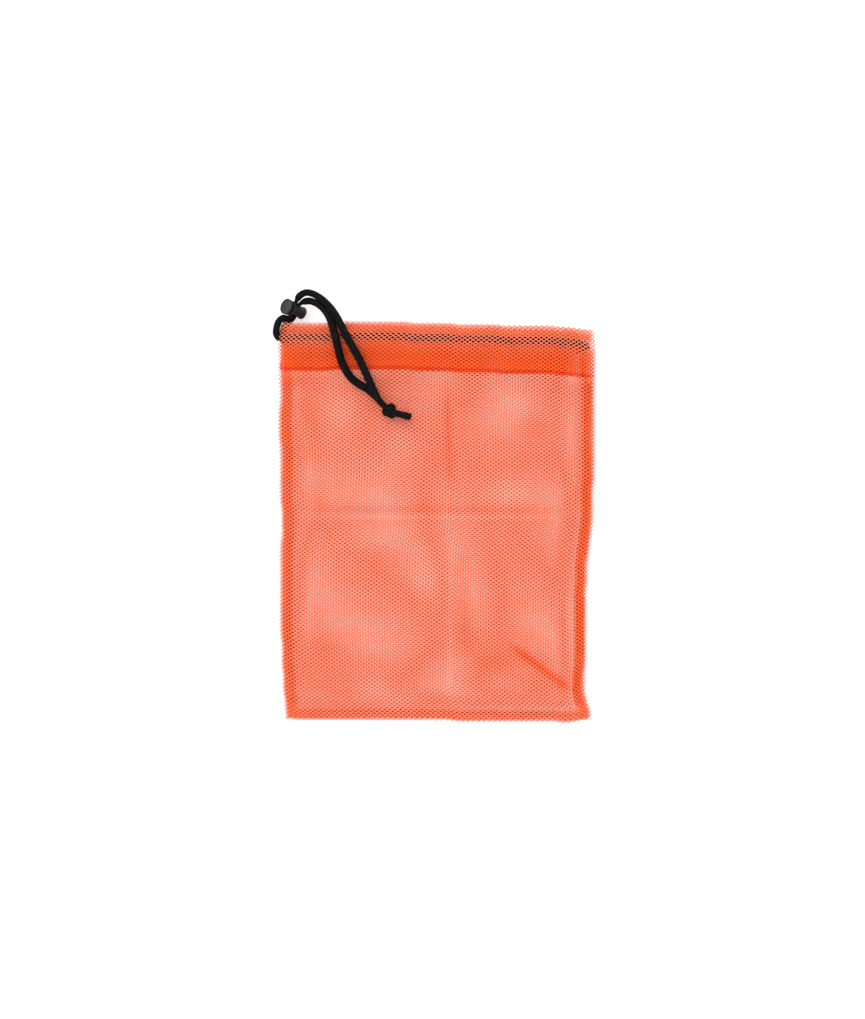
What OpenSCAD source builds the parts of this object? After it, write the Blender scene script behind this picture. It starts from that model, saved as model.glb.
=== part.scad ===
// Mesh drawstring laundry bag lying flat, mouth towards +Y, front side up.
// Millimetres, +Z up, origin on the floor under the middle of the bag.

/* [Bag] */
// Width over the side seams
bag_w = 222; // [150:1:400]
// Height from bottom seam to the top fold
bag_h = 282; // [200:1:600]
// Thickness of one layer of mesh
mesh_t = 0.8; // [0.4:0.1:1.5]
// Clear height inside the empty bag
pouch_gap = 8.2; // [4:0.1:30]

/* [Casing] */
// Depth of the drawcord casing below the top fold
casing_depth = 33; // [20:1:60]
// Distance of the front cord run below the top fold
front_run_drop = 11; // [8:0.5:20]
// Distance of the back cord run below the top fold
back_run_drop = 15.5; // [8:0.5:24]
// Clear gap between the two hems in the mouth
mouth_gap = 4.3; // [4:0.1:20]

/* [Seams] */
// Width of a turned-in seam allowance
seam_w = 6.5; // [4:0.5:15]
// Distance of an allowance in from the edge
seam_inset = 2.4; // [1.5:0.1:6]
// Thickness of the two allowance layers together
seam_t = 1.2; // [0.6:0.1:3]
// Width of the overlock thread on an allowance
overlock_w = 3; // [2:0.5:6]
// Thickness of thread
thread_t = 0.3; // [0.2:0.1:0.6]
// Width of a stitched line
stitch_w = 0.8; // [0.4:0.1:2]

/* [Drawcord] */
// Diameter of the braided cord
cord_d = 4.8; // [3:0.1:8]
// Diameter of the cord where the lock squeezes it
pinch_d = 2.8; // [2:0.1:5]
// Diameter of the knot
knot_d = 10.4; // [8:0.1:20]

/* [Cord lock] */
// Diameter of the push button
button_d = 11.2; // [8:0.1:16]
// Thickness of the push button
button_t = 1.2; // [0.8:0.1:3]
// Diameter of the barrel's top rim
rim_d = 10.6; // [8:0.1:16]
// Diameter of the barrel's foot
foot_d = 8.8; // [8:0.1:14]
// Outside diameter of the barrel
barrel_d = 8.6; // [7:0.1:12]
// Diameter of the plunger stem
stem_d = 6.4; // [5:0.1:9]
// Travel of the plunger
press_travel = 2; // [1:0.1:4]
// Wire diameter of the lock spring
wire_d = 0.35; // [0.2:0.05:0.6]

/* [Hidden] */

mesh_color = [0.95, 0.38, 0.22];
thread_color = [0.9, 0.32, 0.18];
black_color = [0.06, 0.06, 0.07];
steel_color = [0.7, 0.7, 0.72];

sx = bag_w / 222;
sy = bag_h / 282;
cord_r = cord_d / 2;
half_w = bag_w / 2;
end_x = half_w - 12;
fit_gap = 0.3;

// Heights of the layers, from the floor up
back_run_z = mesh_t + cord_r;
hem_rise = cord_d + fit_gap;
back_hem_top = mesh_t + hem_rise + mesh_t;
front_hem_z = back_hem_top + mouth_gap;
front_flat_z = front_hem_z + mesh_t;
front_run_z = front_flat_z + cord_r;
front_peak = hem_rise;
edge_z = mesh_t;
over_seam_z = mesh_t + seam_t + thread_t + 0.2;
crown_z = mesh_t + pouch_gap;

function clamp01(t) = max(0, min(1, t));
function ease(t) = let (c = clamp01(t)) c * c * (3 - 2 * c);
function mix(a, b, t) = a + (b - a) * t;
function unit(v) = v / norm(v);
function hump(d, wide) = abs(d) >= wide ? 0 : pow(cos(90 * d / wide), 2);

// Outline of the flat bag: each edge wanders a little, as cloth does
function top_y(x) = sy * lookup(x / sx, [[-108, 140.3], [-85, 141], [-12, 141], [9, 140],
    [40, 139], [72, 138.6], [93, 137.2], [111, 134.4]]);
function bottom_y(x) = sy * lookup(x / sx, [[-110, -139.4], [-80, -140], [-33, -139.4],
    [10, -140], [80, -141], [104, -141], [111, -137.4]]);
function left_x(y) = sx * lookup(y / sy, [[-141, -105], [-134, -107], [-117, -108.5],
    [-75, -110.4], [-12, -110], [15, -109.8], [50, -111], [93, -111], [122, -110.6],
    [129, -109.4], [133, -108.3], [141, -106.6]]);
function right_x(y) = sx * lookup(y / sy, [[-141, 107.4], [-134, 109.4], [-127, 106],
    [-117, 104], [-106, 105], [-75, 105.2], [-40, 106], [-19, 107.4], [-12, 109],
    [9, 111], [128, 111], [134, 110.4]]);

// A point at cloth position u from side to side, at height y
function cloth_x(u, y) = mix(left_x(y), right_x(y), u);
function near_x(u) = mix(-half_w + 2, half_w - 2, u);

// Columns are crowded towards both sides, rows towards the casing
side_steps = [0, 1.2, 2.2, 3.4, 5, 7, 9.5, 12.5, 18, 26, 37, 51, 68, 88];
span = bag_w - 4;
columns = concat([for (s = side_steps) s / span], [0.5],
                 [for (k = [len(side_steps) - 1 : -1 : 0]) 1 - side_steps[k] / span]);
casing_rows = [0, 1.5, 3, 5, 7, 9, 10.5, 12, 14, 16, 18.5, 21.5, 25, 28.5, 32, 34.5, 37.5, 40.5,
               43.5, 47];
body_rows = 15;
foot_rows = [26, 18, 12, 9, 6, 3.4, 2.2, 1.2, 0];
body_y = [for (k = [1 : body_rows]) mix(94, -115, k / (body_rows + 1)) * sy];
row_count = len(casing_rows) + body_rows + len(foot_rows);

function row_y(r, x) = r < len(casing_rows) ? top_y(x) - casing_rows[r]
    : r < len(casing_rows) + body_rows ? body_y[r - len(casing_rows)]
    : bottom_y(x) + foot_rows[r - len(casing_rows) - body_rows];
function cloth_at(u, r) = let (y = row_y(r, near_x(u))) [cloth_x(u, y), y];

// Underside of the front panel above the floor
function edge_lift(d) = mix(edge_z, over_seam_z, clamp01(d - 1.2));
function body_z(x, y) = let (
        dl = x - left_x(y), dr = right_x(y) - x, db = y - bottom_y(x),
        swell = ease((dl - 2) / 50) * ease((dr - 2) / 50) * ease((db - 2) / 55))
    edge_lift(min(dl, dr, db)) + (crown_z - over_seam_z) * swell;
function wall_z(d) = lookup(d, [[0, edge_z], [1.2, edge_z], [2.2, 5.6], [3.4, 10.4],
    [5, 13.6], [7, 15.8], [9.5, 16.9], [12, 30]]);
function front_bump(drop) = front_peak * hump(drop - front_run_drop,
    drop < front_run_drop ? 9.5 : 16);
function casing_z(x, y) = min(wall_z(right_x(y) - x), front_flat_z + front_bump(top_y(x) - y));
function front_z(x, y) = let (t = ease((casing_depth + 13 - (top_y(x) - y)) / 11))
    mix(body_z(x, y), casing_z(x, y), t);

// A sheet over a grid of points, thick downwards to the same grid lowered
module sheet_solid(rows, cols, top, low) {
    n = rows * cols;
    polyhedron(points = concat(top, low), faces = concat(
        [for (r = [0 : rows - 2], c = [0 : cols - 2])
            [r * cols + c, r * cols + c + 1, (r + 1) * cols + c + 1]],
        [for (r = [0 : rows - 2], c = [0 : cols - 2])
            [r * cols + c, (r + 1) * cols + c + 1, (r + 1) * cols + c]],
        [for (r = [0 : rows - 2], c = [0 : cols - 2])
            [n + r * cols + c, n + (r + 1) * cols + c + 1, n + r * cols + c + 1]],
        [for (r = [0 : rows - 2], c = [0 : cols - 2])
            [n + r * cols + c, n + (r + 1) * cols + c, n + (r + 1) * cols + c + 1]],
        [for (c = [0 : cols - 2]) [c, n + c, n + c + 1, c + 1]],
        [for (c = [0 : cols - 2]) let (a = (rows - 1) * cols + c) [a, a + 1, n + a + 1, n + a]],
        [for (r = [0 : rows - 2]) let (a = r * cols) [a, a + cols, n + a + cols, n + a]],
        [for (r = [0 : rows - 2]) let (a = r * cols + cols - 1)
            [a, n + a, n + a + cols, a + cols]]));
}

module front_panel() {
    cols = len(columns);
    grid = [for (r = [0 : row_count - 1], c = [0 : cols - 1]) cloth_at(columns[c], r)];
    low = [for (p = grid) [p[0], p[1], front_z(p[0], p[1])]];
    top = [for (p = low) p + [0, 0, mesh_t]];
    color(mesh_color) sheet_solid(row_count, cols, top, low);
}

// Outline points in order: down the right side, back along the bottom, up the left, along the top
edge_rows = [for (r = [0 : 2 : row_count - 1]) r];
module back_panel() {
    across = [for (c = [0 : 20]) c / 20];
    right = [for (r = edge_rows) cloth_at(1, r)];
    bottom = [for (c = [20 : -1 : 0]) cloth_at(across[c], row_count - 1)];
    left = [for (k = [len(edge_rows) - 1 : -1 : 0]) cloth_at(0, edge_rows[k])];
    top = [for (c = [1 : 19]) cloth_at(across[c], 0)];
    color(mesh_color) linear_extrude(mesh_t)
        polygon(concat(right, bottom, left, top));
}

hem_right = end_x - 1;
front_hem_left = -half_w + 4;
back_hem_left = -half_w + 8;
hem_depth = casing_depth + 1.5;
hem_steps = 24;
function hem_x(left, k) = mix(left, hem_right, k / hem_steps);

module front_casing_hem() {
    upper = [for (k = [0 : hem_steps]) let (x = hem_x(front_hem_left, k)) [x, top_y(x)]];
    lower = [for (k = [hem_steps : -1 : 0]) let (x = hem_x(front_hem_left, k))
        [x, top_y(x) - hem_depth]];
    color(mesh_color) translate([0, 0, front_hem_z]) linear_extrude(mesh_t)
        polygon(concat(upper, lower));
}

module back_casing_hem() {
    drops = [for (k = [0 : 22]) hem_depth * k / 22];
    grid = [for (d = drops, k = [0 : hem_steps]) let (x = hem_x(back_hem_left, k))
        [x, top_y(x) - d, mesh_t + (hem_rise + 0.1) * hump(d - back_run_drop, 14)]];
    top = [for (p = grid) p + [0, 0, mesh_t]];
    color(mesh_color) sheet_solid(len(drops), hem_steps + 1, top, grid);
}

// Strips that follow the edges
side_low = -128 * sy;
side_high = 100 * sy;
side_count = 26;
function side_at(k) = mix(side_low, side_high, k / side_count);
module left_strip(inset, wide, z, tall) {
    outer = [for (k = [0 : side_count]) [left_x(side_at(k)) + inset, side_at(k)]];
    inner = [for (k = [side_count : -1 : 0]) [left_x(side_at(k)) + inset + wide, side_at(k)]];
    translate([0, 0, z]) linear_extrude(tall) polygon(concat(outer, inner));
}
module right_strip(inset, wide, z, tall) {
    outer = [for (k = [0 : side_count]) [right_x(side_at(k)) - inset, side_at(k)]];
    inner = [for (k = [side_count : -1 : 0]) [right_x(side_at(k)) - inset - wide, side_at(k)]];
    translate([0, 0, z]) linear_extrude(tall) polygon(concat(outer, inner));
}
module bottom_strip(inset, wide, z, tall) {
    outer = [for (k = [0 : 20]) let (x = mix(-100, 100, k / 20) * sx) [x, bottom_y(x) + inset]];
    inner = [for (k = [20 : -1 : 0]) let (x = mix(-100, 100, k / 20) * sx)
        [x, bottom_y(x) + inset + wide]];
    translate([0, 0, z]) linear_extrude(tall) polygon(concat(outer, inner));
}
overlock_inset = seam_inset + seam_w - overlock_w;
overlock_z = mesh_t + seam_t;

module left_seam_allowance() {
    color(mesh_color) left_strip(seam_inset, seam_w, mesh_t, seam_t);
}
module right_seam_allowance() {
    color(mesh_color) right_strip(seam_inset, seam_w, mesh_t, seam_t);
}
module bottom_seam_allowance() {
    color(mesh_color) bottom_strip(seam_inset, seam_w, mesh_t, seam_t);
}
module left_seam_overlock() {
    color(thread_color) left_strip(overlock_inset, overlock_w, overlock_z, thread_t);
}
module right_seam_overlock() {
    color(thread_color) right_strip(overlock_inset, overlock_w, overlock_z, thread_t);
}
module bottom_seam_overlock() {
    color(thread_color) bottom_strip(overlock_inset, overlock_w, overlock_z, thread_t);
}

// Lines of stitches along the lower edge of each casing
module stitch_line(left, z) {
    upper = [for (k = [0 : hem_steps]) let (x = hem_x(left, k))
        [x, top_y(x) - casing_depth + stitch_w / 2]];
    lower = [for (k = [hem_steps : -1 : 0]) let (x = hem_x(left, k))
        [x, top_y(x) - casing_depth - stitch_w / 2]];
    color(thread_color) translate([0, 0, z]) linear_extrude(thread_t)
        polygon(concat(upper, lower));
}
module front_casing_stitching() {
    stitch_line(front_hem_left, front_flat_z + mesh_t);
}
module back_casing_stitching() {
    stitch_line(back_hem_left, 2 * mesh_t);
}
module cord_exit_bartack() {
    color(thread_color)
        translate([left_x(110) + 1, top_y(-108) - casing_depth - 0.4, front_flat_z + mesh_t])
        cube([1.6, 5, thread_t]);
}

// Drawcord: rings swept along the points of a route
ring_sides = 10;
function along(pts, i) = let (n = len(pts))
    unit(pts[min(i + 1, n - 1)] - pts[max(i - 1, 0)]);
function ring(p, t, ref, r) = let (a = unit(cross(ref, t)), b = cross(t, a))
    [for (k = [0 : ring_sides - 1])
        p + r * (cos(360 * k / ring_sides) * a + sin(360 * k / ring_sides) * b)];
module tube(pts, radii, ref) {
    n = len(pts);
    s = ring_sides;
    rings = [for (i = [0 : n - 1], q = ring(pts[i], along(pts, i), ref, radii[i])) q];
    polyhedron(points = rings, faces = concat(
        [[for (k = [0 : s - 1]) k]],
        [[for (k = [s - 1 : -1 : 0]) (n - 1) * s + k]],
        [for (i = [0 : n - 2], k = [0 : s - 1]) let (m = (k + 1) % s)
            [i * s + k, (i + 1) * s + k, (i + 1) * s + m]],
        [for (i = [0 : n - 2], k = [0 : s - 1]) let (m = (k + 1) % s)
            [i * s + k, (i + 1) * s + m, i * s + m]]));
}

// The lock turns with the cords round this upright line
arc_x = -87;
arc_y = 144.5;
arc_r = 13.5;
arc_bearing = 160;
lock_z = 9.2;
lock_tilt = 45;
strand_step = pinch_d / 2 + 0.1;
strand_side = strand_step * cos(lock_tilt);
function arc_at(bearing, off) = [arc_x + (arc_r + off) * cos(bearing),
    arc_y + (arc_r + off) * sin(bearing), lock_z + off];
arc_bearings = [174, 167, 160, 153, 146];

front_exit = [-109, top_y(-109) - front_run_drop, front_run_z];
back_exit = [-103.5, top_y(-103.5) - back_run_drop, back_run_z];
front_route = concat([front_exit, front_exit + [-1.6, 0.3, 0],
    [-112, 132.6, 14.3], [-111.6, 137, 13.4], [-110.1, 141, 12.4], [-107.4, 143.2, 11.3],
    [-104.6, 143.3, 10.5], [-102.3, 144, 10.3]],
    [for (b = arc_bearings) arc_at(b, strand_side)],
    [[-97.8, 155.8, 10.3], [-95.6, 159, 10.5], [-91.6, 161, 10.9], [-86.8, 160.2, 12],
    [-81.2, 157, 13.8], [-76.6, 152.8, 15.6], [-72.8, 148.2, 17.2], [-69.4, 142.8, 18.6],
    [-66.4, 137, 19.8], [-62.8, 130, 20.6], [-58.6, 122.4, 19.4], [-54, 114.4, 16.8],
    [-50, 105.8, 15.6], [-46.6, 98, 16.2], [-43.6, 91.4, 17.6], [-40.6, 86, 17.8],
    [-37, 82, 17.8], [-34.5, 79.8, 17.5]]);
back_route = concat([back_exit, back_exit + [-1.4, 0.1, 0], [-107.6, 127.8, back_run_z],
    [-108.2, 131.4, back_run_z], [-107.4, 136, 3.3], [-105.4, 140, 4.2], [-102.6, 141.8, 6.2],
    [-100.2, 143.2, 7.9]],
    [for (b = arc_bearings) arc_at(b, -strand_side)],
    [[-94.8, 154, 8.2], [-90, 155.4, 8.8], [-85.4, 154.2, 10.2], [-80.8, 151.2, 12],
    [-77.2, 147, 14], [-74.6, 142.4, 16.4], [-72.4, 136.4, 19.2], [-70.2, 128.4, 20.3],
    [-68.4, 120.4, 18.2], [-66.4, 113, 15.7], [-63, 105.8, 15.4], [-58.6, 100.2, 13.8],
    [-53, 96.2, 13.1], [-47.4, 93, 12.7], [-42.4, 88, 12.7], [-38.4, 83.4, 12.7],
    [-35.5, 80.6, 12.8]]);
front_pinch = arc_at(arc_bearing, strand_side);
back_pinch = arc_at(arc_bearing, -strand_side);
function pinched(p, at) = mix(pinch_d / 2, cord_r, clamp01((norm(p - at) - 6.4) / 3.4));

module drawcord_casing_run() {
    out = [for (x = [-109, -70, -12, 9, 40, 72, 93, end_x])
        [x, top_y(x) - front_run_drop, front_run_z]];
    turn_r = (front_run_z - back_run_z) / 2;
    turn = [for (k = [1 : 8]) let (a = 90 - k * 180 / 9)
        [end_x + turn_r * cos(a), top_y(end_x) - mix(front_run_drop, back_run_drop, k / 9),
        back_run_z + turn_r + turn_r * sin(a)]];
    home = [for (x = [end_x, 93, 72, 40, 9, -12, -70, -103.5])
        [x, top_y(x) - back_run_drop, back_run_z]];
    pts = concat(out, turn, home);
    color(black_color) tube(pts, [for (p = pts) cord_r], [0, 1, 0]);
}
module drawcord_strand_front() {
    radii = [for (p = front_route) pinched(p, front_pinch)];
    color(black_color) tube(front_route, radii, [0, 0, 1]);
}
module drawcord_strand_back() {
    radii = [for (p = back_route) pinched(p, back_pinch)];
    color(black_color) tube(back_route, radii, [0, 0, 1]);
}
knot_at = [-32.7, 78, 15.1];
module drawcord_knot() {
    color(black_color) translate(knot_at) scale([1, 1, 0.96]) sphere(d = knot_d, $fn = 28);
}
module drawcord_tail_front() {
    pts = [knot_at + [3.4, -1, 2.2], [-26, 76, 17.4], [-22, 75, 17.2], [-18.4, 73.9, 17]];
    color(black_color) tube(pts, [for (p = pts) cord_r - 0.1], [0, 0, 1]);
}
module drawcord_tail_back() {
    pts = [knot_at + [3.4, -1, -2.2], [-26, 76, 12.5], [-22.4, 75, 12.4], [-19.4, 74.2, 12.4]];
    color(black_color) tube(pts, [for (p = pts) cord_r - 0.1], [0, 0, 1]);
}

// Cord lock in its own frame: +Z runs from the foot to the button, the cords cross at z = 0
slot_half = strand_step + pinch_d / 2 + 0.2;
rim_low = slot_half + 0.5;
rim_t = 1.4;
rim_top = rim_low + rim_t;
button_low = rim_top + press_travel + 0.1;
stem_low = -slot_half - 1.1;
bore_low = stem_low - 2.8;
foot_low = bore_low - 1;
foot_t = 1.4;
bore_d = stem_d + 0.1;

module in_lock() {
    translate([arc_x + arc_r * cos(arc_bearing), arc_y + arc_r * sin(arc_bearing), lock_z])
        rotate([0, 0, arc_bearing]) rotate([0, 90 - lock_tilt, 0]) children();
}
// Ring-shaped channel that the cords fill, concentric with their bend
module channel_ring(low, high) {
    translate([arc_x, arc_y, lock_z]) rotate_extrude($fn = 96)
        translate([arc_r, 0]) rotate(lock_tilt)
        translate([low + pinch_d / 2 + 0.2, 0])
        hull() {
            circle(d = pinch_d + 0.4, $fn = 24);
            translate([high - low - pinch_d - 0.4, 0]) circle(d = pinch_d + 0.4, $fn = 24);
        }
}

module cord_lock_barrel() {
    color(black_color) difference() {
        in_lock() difference() {
            union() {
                translate([0, 0, foot_low]) cylinder(d = foot_d, h = foot_t, $fn = 64);
                translate([0, 0, foot_low]) cylinder(d = barrel_d, h = rim_top - foot_low,
                    $fn = 64);
                translate([0, 0, rim_low]) cylinder(d = rim_d, h = rim_t, $fn = 64);
            }
            translate([0, 0, bore_low]) cylinder(d = bore_d, h = rim_top - bore_low + 1,
                $fn = 64);
        }
        channel_ring(-slot_half, slot_half);
    }
}
module cord_lock_plunger() {
    color(black_color) difference() {
        in_lock() union() {
            translate([0, 0, stem_low]) cylinder(d = stem_d, h = button_low - stem_low,
                $fn = 64);
            translate([0, 0, button_low]) cylinder(d = button_d, h = button_t, $fn = 64);
        }
        channel_ring(-slot_half, slot_half + press_travel);
    }
}
module cord_lock_spring() {
    spring_h = stem_low - bore_low;
    coil_r = 2.2;
    turns = 2.5;
    steps = 40;
    pts = [for (k = [0 : steps]) let (a = 360 * turns * k / steps)
        [coil_r * cos(a), coil_r * sin(a),
        bore_low + wire_d / 2 + 0.03 + (spring_h - wire_d - 0.06) * k / steps]];
    color(steel_color) in_lock() tube(pts, [for (p = pts) wire_d / 2], [0, 0, 1]);
}

back_panel();
front_panel();
back_casing_hem();
front_casing_hem();
left_seam_allowance();
right_seam_allowance();
bottom_seam_allowance();
left_seam_overlock();
right_seam_overlock();
bottom_seam_overlock();
front_casing_stitching();
back_casing_stitching();
cord_exit_bartack();
drawcord_casing_run();
drawcord_strand_front();
drawcord_strand_back();
drawcord_knot();
drawcord_tail_front();
drawcord_tail_back();
cord_lock_barrel();
cord_lock_plunger();
cord_lock_spring();
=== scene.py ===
import math

import bpy
import numpy as np
from mathutils import Matrix, Vector
from mathutils.bvhtree import BVHTree


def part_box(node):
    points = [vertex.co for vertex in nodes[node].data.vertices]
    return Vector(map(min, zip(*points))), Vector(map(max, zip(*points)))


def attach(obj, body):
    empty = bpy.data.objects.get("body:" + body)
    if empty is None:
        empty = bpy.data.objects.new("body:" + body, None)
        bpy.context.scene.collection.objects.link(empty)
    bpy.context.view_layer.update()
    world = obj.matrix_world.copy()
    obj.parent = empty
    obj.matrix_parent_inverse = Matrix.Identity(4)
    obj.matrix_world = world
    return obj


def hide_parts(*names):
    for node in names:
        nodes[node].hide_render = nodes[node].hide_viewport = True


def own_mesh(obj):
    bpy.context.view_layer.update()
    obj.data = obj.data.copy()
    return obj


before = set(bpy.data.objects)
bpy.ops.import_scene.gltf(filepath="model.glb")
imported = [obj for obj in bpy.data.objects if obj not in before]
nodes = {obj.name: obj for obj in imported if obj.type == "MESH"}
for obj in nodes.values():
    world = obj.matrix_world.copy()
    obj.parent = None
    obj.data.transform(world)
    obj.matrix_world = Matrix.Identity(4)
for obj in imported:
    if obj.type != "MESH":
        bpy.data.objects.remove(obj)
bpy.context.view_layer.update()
bpy.ops.object.select_all(action="DESELECT")
mm = 0.001

# small helpers

def ease(t):
    t = np.clip(t, 0.0, 1.0)
    return t * t * (3 - 2 * t)


def newObject(name, verts, faces, smooth=True):
    mesh = bpy.data.meshes.new(name)
    mesh.from_pydata([tuple(v) for v in np.asarray(verts, dtype=float)], [],
                     [tuple(int(i) for i in f) for f in faces])
    mesh.update()
    if smooth:
        mesh.polygons.foreach_set("use_smooth", [True] * len(mesh.polygons))
    obj = bpy.data.objects.new(name, mesh)
    bpy.context.scene.collection.objects.link(obj)
    return obj


def joinMeshes(name, parts, smooth=True):
    verts, faces, base = [], [], 0
    for v, f in parts:
        verts.extend(v)
        faces.extend([tuple(i + base for i in q) for q in f])
        base += len(v)
    return newObject(name, verts, faces, smooth)


def only(obj):
    bpy.ops.object.select_all(action="DESELECT")
    obj.select_set(True)
    bpy.context.view_layer.objects.active = obj


def applyAll(obj):
    only(obj)
    for m in list(obj.modifiers):
        bpy.ops.object.modifier_apply(modifier=m.name)


# shader maths: one socket with operators

class Wire:
    def __init__(self, tree, socket):
        self.tree, self.socket = tree, socket

    def math(self, op, other=None):
        node = self.tree.nodes.new("ShaderNodeMath")
        node.operation = op
        self.tree.links.new(self.socket, node.inputs[0])
        if isinstance(other, Wire):
            self.tree.links.new(other.socket, node.inputs[1])
        elif other is not None:
            node.inputs[1].default_value = other
        return Wire(self.tree, node.outputs[0])

    def __add__(self, other):
        return self.math("ADD", other)

    def __radd__(self, other):
        return self.math("ADD", other)

    def __mul__(self, other):
        return self.math("MULTIPLY", other)

    def __rmul__(self, other):
        return self.math("MULTIPLY", other)

    def __sub__(self, other):
        return self.math("SUBTRACT", other)

    def __rsub__(self, other):
        return self.math("MULTIPLY", -1.0) + other

    def power(self, other):
        return self.math("POWER", other)


class Paint:
    def __init__(self, name):
        self.material = bpy.data.materials.new(name)
        self.material.use_nodes = True
        self.tree = self.material.node_tree
        self.shader = self.tree.nodes["Principled BSDF"]

    def node(self, kind, settings=None, inputs=None, out=0):
        n = self.tree.nodes.new(kind)
        for key, value in (settings or {}).items():
            setattr(n, key, value)
        for key, value in (inputs or {}).items():
            if isinstance(value, Wire):
                self.tree.links.new(value.socket, n.inputs[key])
            else:
                n.inputs[key].default_value = value
        return Wire(self.tree, n.outputs[out])

    def ramp(self, fac, stops):
        n = self.tree.nodes.new("ShaderNodeValToRGB")
        band = n.color_ramp
        while len(band.elements) < len(stops):
            band.elements.new(0.5)
        for element, (place, tint) in zip(band.elements, stops):
            element.position = place
            element.color = (*tint, 1.0)
        self.tree.links.new(fac.socket, n.inputs[0])
        return Wire(self.tree, n.outputs[0])

    def link(self, wire, name):
        self.tree.links.new(wire.socket, self.shader.inputs[name])

    def fixed(self, **values):
        for key, value in values.items():
            self.shader.inputs[key.replace("_", " ")].default_value = value

    def bump(self, height, distance, strength=1.0):
        self.link(self.node("ShaderNodeBump", {}, {
            "Strength": strength, "Distance": distance, "Height": height}), "Normal")


# camera, straight above the flat bag

cameraSet = {"lensMm": 85.0, "frameM": 0.7133, "lookX": -0.0030, "lookY": 0.00945, "planeZ": 0.008}


def makeCamera():
    data = bpy.data.cameras.new("overheadCamera")
    data.lens = cameraSet["lensMm"]
    data.sensor_width = 36.0
    data.clip_end = 50.0
    cam = bpy.data.objects.new("overheadCamera", data)
    bpy.context.scene.collection.objects.link(cam)
    away = cameraSet["frameM"] * cameraSet["lensMm"] / 36.0
    cam.location = (cameraSet["lookX"], cameraSet["lookY"], cameraSet["planeZ"] + away)
    bpy.context.scene.camera = cam


makeCamera()
print("camera placed")

# drawcord

cord = {
    "width": 4.8,       # mm, over the braid
    "carriers": 8,      # bumps round the cord
    "bumpLength": 1.1,  # mm, half the repeat along the cord
    "relief": 0.20,     # depth of the braid as a share of the radius
    "sides": 40,
    "bulge": 1.13,      # the loose part swells a little past its drawn width
    "pinchWidth": 2.8,  # mm, in the lock
}
arc = {"x": -87.0, "y": 144.5, "radius": 13.5, "bearing": 160.0, "z": 9.2, "tilt": 45.0,
       "side": 1.5 * math.cos(math.radians(45))}


def arcAt(bearing, off):
    a = math.radians(bearing)
    r = arc["radius"] + off
    return (arc["x"] + r * math.cos(a), arc["y"] + r * math.sin(a), arc["z"] + off)


arcBearings = [174, 167, 160, 153, 146]
frontExit = (-109.0, 129.3, 14.2)
backExit = (-103.5, 124.927, 3.2)
frontRoute = [frontExit, (-110.6, 129.6, 14.2), (-112, 132.6, 14.3), (-111.6, 137, 13.4),
              (-110.1, 141, 12.4), (-107.4, 143.2, 11.3), (-104.6, 143.3, 10.5),
              (-102.3, 144, 10.3)]
frontRoute += [arcAt(b, arc["side"]) for b in arcBearings]
frontRoute += [(-97.8, 155.8, 10.3), (-95.6, 159, 10.5), (-91.6, 161, 10.9), (-86.8, 160.2, 12),
               (-81.2, 157, 13.8), (-76.6, 152.8, 15.6), (-72.8, 148.2, 17.2),
               (-69.4, 142.8, 18.6), (-66.4, 137, 19.8), (-62.8, 130, 20.6),
               (-58.6, 122.4, 19.4), (-54, 114.4, 16.8), (-50, 105.8, 15.6), (-46.6, 98, 16.2),
               (-43.6, 91.4, 17.6), (-40.6, 86, 17.8), (-37, 82, 17.8), (-34.5, 79.8, 17.5)]
backRoute = [backExit, (-104.9, 125.037, 3.2), (-107.6, 127.8, 3.2), (-108.2, 131.4, 3.2),
             (-107.4, 136, 3.3), (-105.4, 140, 4.2), (-102.6, 141.8, 6.2), (-100.2, 143.2, 7.9)]
backRoute += [arcAt(b, -arc["side"]) for b in arcBearings]
backRoute += [(-94.8, 154, 8.2), (-90, 155.4, 8.8), (-85.4, 154.2, 10.2), (-80.8, 151.2, 12),
              (-77.2, 147, 14), (-74.6, 142.4, 16.4), (-72.4, 136.4, 19.2), (-70.2, 128.4, 20.3),
              (-68.4, 120.4, 18.2), (-66.4, 113, 15.7), (-63, 105.8, 15.4), (-58.6, 100.2, 13.8),
              (-53, 96.2, 13.1), (-47.4, 93, 12.7), (-42.4, 88, 12.7), (-38.4, 83.4, 12.7),
              (-35.5, 80.6, 12.8)]


def curveThrough(points, step):
    # Catmull-Rom through the points, then evenly spaced along its own length
    p = np.array(points, dtype=float)
    fine = []
    for i in range(len(p) - 1):
        a, b, c, d = p[max(i - 1, 0)], p[i], p[i + 1], p[min(i + 2, len(p) - 1)]
        for k in range(24):
            t = k / 24
            fine.append(0.5 * ((2 * b) + (c - a) * t + (2 * a - 5 * b + 4 * c - d) * t * t
                               + (3 * b - a - 3 * c + d) * t ** 3))
    fine = np.array(fine + [p[-1]])
    far = np.concatenate([[0], np.cumsum(np.linalg.norm(np.diff(fine, axis=0), axis=1))])
    count = max(2, int(round(far[-1] / step)) + 1)
    want = np.linspace(0, far[-1], count)
    line = np.stack([np.interp(want, far, fine[:, k]) for k in range(3)], axis=1)
    return line, far[-1]


def framesAlong(line):
    tangents = np.gradient(line, axis=0)
    tangents /= np.linalg.norm(tangents, axis=1)[:, None]
    side = np.cross(tangents[0], (0.0, 0.0, 1.0))
    if np.linalg.norm(side) < 0.1:
        side = np.cross(tangents[0], (0.0, 1.0, 0.0))
    side /= np.linalg.norm(side)
    sides = []
    for t in tangents:  # carried along without twist
        side = side - t * np.dot(side, t)
        side /= np.linalg.norm(side)
        sides.append(side.copy())
    sides = np.array(sides)
    return tangents, sides, np.cross(tangents, sides)


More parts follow.
